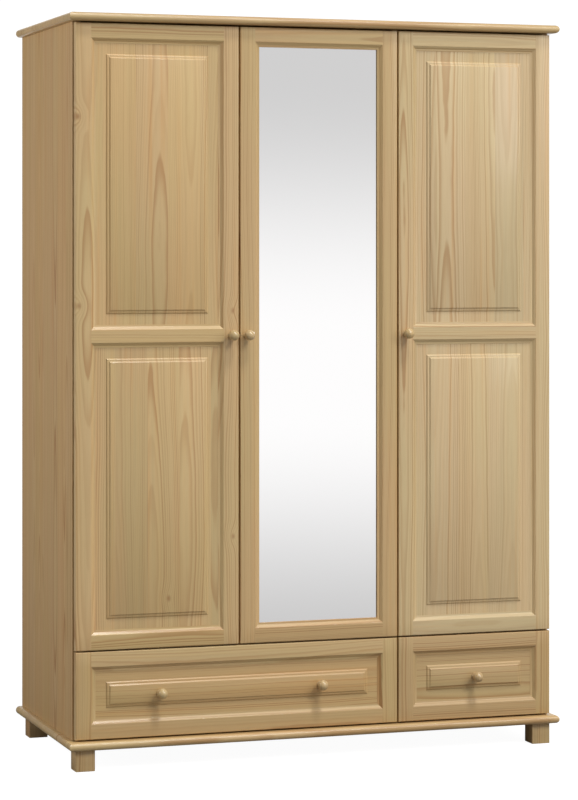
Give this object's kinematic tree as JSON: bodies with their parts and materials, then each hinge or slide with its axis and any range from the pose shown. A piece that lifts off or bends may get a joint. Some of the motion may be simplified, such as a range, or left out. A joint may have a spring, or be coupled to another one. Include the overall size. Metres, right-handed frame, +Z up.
{
  "type": "wardrobe",
  "caption": "Free-standing pine wardrobe: framed overlay doors with raised panels and a central mirror door, above drawers on runners, with hanging and shelf bays.",
  "frame": {"origin": "centre of the whole object's box on the floor", "axes": "+X to the right seen from the front, -Y out of the front, +Z up"},
  "size_m": [1.33, 0.6206, 1.9],
  "materials": {
    "pine_board": "clear satin lacquer on light natural pine, edge-glued staves",
    "pine_frame": "clear satin lacquer on light natural pine, grain along each rail and stile",
    "pine_panel": "clear satin lacquer on light natural pine, raised and fielded",
    "pine_turned": "turned pine, clear satin lacquer",
    "plywood": "thin pine-faced plywood, matt",
    "mirror": "silvered float glass",
    "hinge_metal": "nickel-plated pressed steel",
    "runner_metal": "off-white powder-coated steel"
  },
  "bodies": {
    "cabinet": {"back_panel": "plywood", "base_board": "pine_board", "cornice_board": "pine_board", "front_left_foot": "pine_board", "front_right_foot": "pine_board", "hanging_rail": "pine_turned", "hat_shelf": "pine_board", "left_door_hinge_arm_bottom": "hinge_metal", "left_door_hinge_arm_top": "hinge_metal", "left_side_panel": "pine_board", "mirror_door_hinge_arm_bottom": "hinge_metal", "mirror_door_hinge_arm_top": "hinge_metal", "narrow_bay_floor": "pine_board", "narrow_drawer_runner_left": "runner_metal", "narrow_drawer_runner_right": "runner_metal", "narrow_shelf_1": "pine_board", "narrow_shelf_2": "pine_board", "narrow_shelf_3": "pine_board", "partition_panel": "pine_board", "rear_left_foot": "pine_board", "rear_right_foot": "pine_board", "right_door_hinge_arm_bottom": "hinge_metal", "right_door_hinge_arm_top": "hinge_metal", "right_side_panel": "pine_board", "wide_bay_floor": "pine_board", "wide_drawer_runner_left": "runner_metal", "wide_drawer_runner_right": "runner_metal"},
    "left_door": {"left_door_frame": "pine_frame", "left_door_hinge_cup_bottom": "hinge_metal", "left_door_hinge_cup_top": "hinge_metal", "left_door_knob": "pine_turned", "left_door_lower_panel": "pine_panel", "left_door_upper_panel": "pine_panel"},
    "left_door_links": {"left_door_hinge_link_top": "hinge_metal"},
    "mirror_door": {"mirror_backing": "plywood", "mirror_door_frame": "pine_frame", "mirror_door_hinge_cup_bottom": "hinge_metal", "mirror_door_hinge_cup_top": "hinge_metal", "mirror_door_knob": "pine_turned", "mirror_glass": "mirror"},
    "mirror_door_links": {"mirror_door_hinge_link_top": "hinge_metal"},
    "right_door": {"right_door_frame": "pine_frame", "right_door_hinge_cup_bottom": "hinge_metal", "right_door_hinge_cup_top": "hinge_metal", "right_door_knob": "pine_turned", "right_door_lower_panel": "pine_panel", "right_door_upper_panel": "pine_panel"},
    "right_door_links": {"right_door_hinge_link_top": "hinge_metal"},
    "wide_drawer": {"wide_drawer_bottom": "plywood", "wide_drawer_box": "pine_board", "wide_drawer_front_frame": "pine_frame", "wide_drawer_front_panel": "pine_panel", "wide_drawer_knob_left": "pine_turned", "wide_drawer_knob_right": "pine_turned"},
    "narrow_drawer": {"narrow_drawer_bottom": "plywood", "narrow_drawer_box": "pine_board", "narrow_drawer_front_frame": "pine_frame", "narrow_drawer_front_panel": "pine_panel", "narrow_drawer_knob": "pine_turned"}
  },
  "joints": [
    {"name": "left_door_swing", "type": "hinge", "parent": "cabinet", "child": "left_door", "pos_m": [-0.645, -0.27275, 1.0885], "axis": [0, 0, -1], "range_deg": [0, 95]},
    {"name": "mirror_door_swing", "type": "hinge", "parent": "cabinet", "child": "mirror_door", "pos_m": [0.21367, -0.27275, 1.0885], "axis": [0, 0, 1], "range_deg": [0, 95]},
    {"name": "right_door_swing", "type": "hinge", "parent": "cabinet", "child": "right_door", "pos_m": [0.645, -0.27275, 1.0885], "axis": [0, 0, 1], "range_deg": [0, 95]},
    {"name": "wide_drawer_slide", "type": "slide", "parent": "cabinet", "child": "wide_drawer", "axis": [0, -1, 0], "range_m": [0, 0.36]},
    {"name": "narrow_drawer_slide", "type": "slide", "parent": "cabinet", "child": "narrow_drawer", "axis": [0, -1, 0], "range_m": [0, 0.36]},
    {"name": "left_door_link_turn", "type": "hinge", "parent": "left_door", "child": "left_door_links", "pos_m": [-0.633, -0.26175, 1.775], "axis": [0, 0, -1], "range_deg": [-95, 0]},
    {"name": "mirror_door_link_turn", "type": "hinge", "parent": "mirror_door", "child": "mirror_door_links", "pos_m": [0.20167, -0.26175, 1.775], "axis": [0, 0, 1], "range_deg": [-95, 0]},
    {"name": "right_door_link_turn", "type": "hinge", "parent": "right_door", "child": "right_door_links", "pos_m": [0.633, -0.26175, 1.775], "axis": [0, 0, 1], "range_deg": [-95, 0]}
  ],
  "couplings": [
    {"joint": "left_door_link_turn", "follows": "left_door_swing", "ratio": -1},
    {"joint": "mirror_door_link_turn", "follows": "mirror_door_swing", "ratio": -1},
    {"joint": "right_door_link_turn", "follows": "right_door_swing", "ratio": -1}
  ]
}
